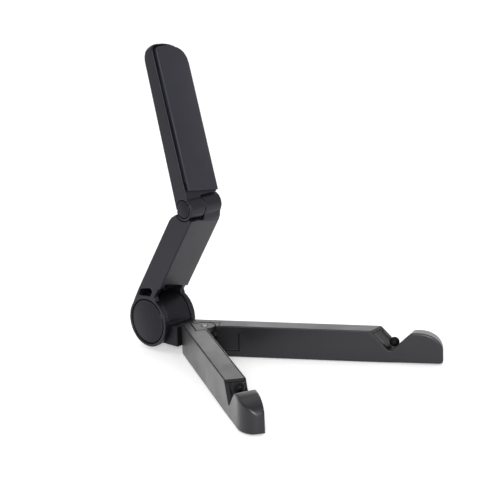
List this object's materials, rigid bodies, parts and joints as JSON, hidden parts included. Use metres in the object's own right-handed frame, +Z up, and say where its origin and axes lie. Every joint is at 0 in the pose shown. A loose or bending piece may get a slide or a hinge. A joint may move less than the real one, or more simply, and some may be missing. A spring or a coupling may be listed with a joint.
{
  "type": "folding tablet stand",
  "caption": "Folding tripod stand for a tablet or phone: hooked legs that close like scissors, a tilting lower arm and a padded upper arm.",
  "frame": {"origin": "on the floor, in the middle of the footprint of the open stand", "axes": "+Z up; -Y is the front, where the device stands and the legs point; X is the width, along both tilt bolts"},
  "size_m": [0.1438, 0.1535, 0.1659],
  "materials": {
    "shell_plastic": "fine-textured moulded charcoal plastic, satin",
    "cap_plastic": "smoother satin charcoal plastic",
    "pad_rubber": "soft matte rubber pad",
    "black_rubber": "jet black matte rubber",
    "steel": "zinc-plated steel",
    "washer_nylon": "natural nylon"
  },
  "bodies": {
    "hub": {"hub_block": "shell_plastic", "leg_pivot_pin": "steel", "left_friction_washer": "washer_nylon", "right_friction_washer": "washer_nylon", "pivot_spring_washer": "steel"},
    "lower_arm": {"lower_arm_shell": "shell_plastic", "lower_arm_back_cover": "shell_plastic", "pivot_bolt": "steel", "pivot_sleeve_nut": "steel", "left_pivot_cap": "cap_plastic", "right_pivot_cap": "cap_plastic", "lower_arm_screw_1": "steel", "lower_arm_screw_2": "steel", "hinge_nut": "steel", "hinge_right_cap": "cap_plastic"},
    "upper_arm": {"upper_arm_shell": "shell_plastic", "pad_carrier": "shell_plastic", "backrest_pad": "pad_rubber", "hinge_left_cap": "cap_plastic", "hinge_bolt": "steel", "hinge_spring_washer": "steel", "hinge_friction_washer": "washer_nylon", "pad_carrier_screw_1": "steel", "pad_carrier_screw_2": "steel"},
    "left_leg": {"left_leg_shell": "shell_plastic", "left_leg_top_strip": "shell_plastic", "left_leg_base_cover": "shell_plastic", "left_grip_stud": "black_rubber", "left_rear_foot": "black_rubber", "left_front_foot": "black_rubber", "left_leg_screw_1": "steel", "left_leg_screw_2": "steel"},
    "right_leg": {"right_leg_shell": "shell_plastic", "right_leg_top_strip": "shell_plastic", "right_leg_base_cover": "shell_plastic", "right_grip_stud": "black_rubber", "right_rear_foot": "black_rubber", "right_front_foot": "black_rubber", "right_leg_screw_1": "steel", "right_leg_screw_2": "steel"}
  },
  "joints": [
    {"name": "lower_arm_tilt", "type": "hinge", "parent": "hub", "child": "lower_arm", "pos_m": [0, 0.06288, 0.0157], "axis": [1, 0, 0], "range_deg": [-52.5, 57]},
    {"name": "upper_arm_tilt", "type": "hinge", "parent": "lower_arm", "child": "upper_arm", "pos_m": [0, 0.03159, 0.08198], "axis": [1, 0, 0], "range_deg": [-40, 48.3]},
    {"name": "left_leg_swing", "type": "hinge", "parent": "hub", "child": "left_leg", "pos_m": [0, 0.03058, 0.008], "axis": [0, 0, 1], "range_deg": [0, 31.7]},
    {"name": "right_leg_swing", "type": "hinge", "parent": "hub", "child": "right_leg", "pos_m": [0, 0.03058, 0.008], "axis": [0, 0, 1], "range_deg": [-31.7, 0]}
  ]
}
